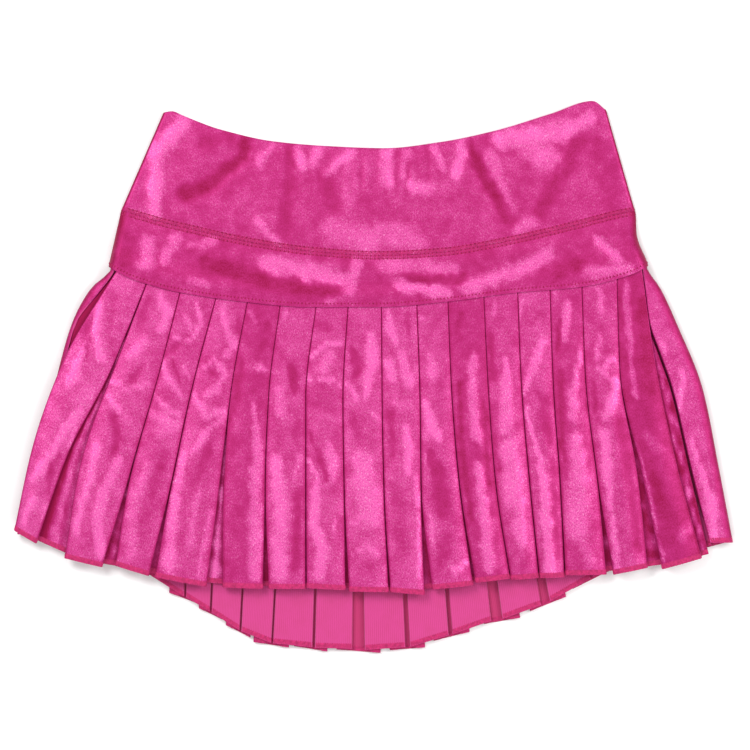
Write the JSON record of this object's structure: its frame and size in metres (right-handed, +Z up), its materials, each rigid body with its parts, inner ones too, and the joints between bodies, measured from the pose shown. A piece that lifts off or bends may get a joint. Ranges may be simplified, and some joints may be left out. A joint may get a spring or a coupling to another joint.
{
  "type": "pleated mini skort laid flat",
  "caption": "Pleated mini skort laid flat: wide folded waistband, yoke band, box-pleated front, longer box-pleated back and inner shorts.",
  "frame": {"origin": "middle of the garment's outline, on the plane it lies on", "axes": "+Z up from the plane it lies on, through the front; +Y from the hem towards the waist; +X to the right of someone who looks down on the front"},
  "size_m": [0.5321, 0.409, 0.0146],
  "materials": {
    "foil_knit": "stretch knit with a metallic foil face and a matt knit wrong side",
    "shorts_knit": "matt stretch knit",
    "sewing_thread": "matt textured sewing thread"
  },
  "bodies": {
    "root": {"waistband_front": "foil_knit", "waistband_back": "foil_knit", "yoke_front": "foil_knit", "yoke_back": "foil_knit", "skirt_front": "foil_knit", "skirt_back": "foil_knit", "shorts_left": "shorts_knit", "shorts_right": "shorts_knit"}
  },
  "joints": []
}
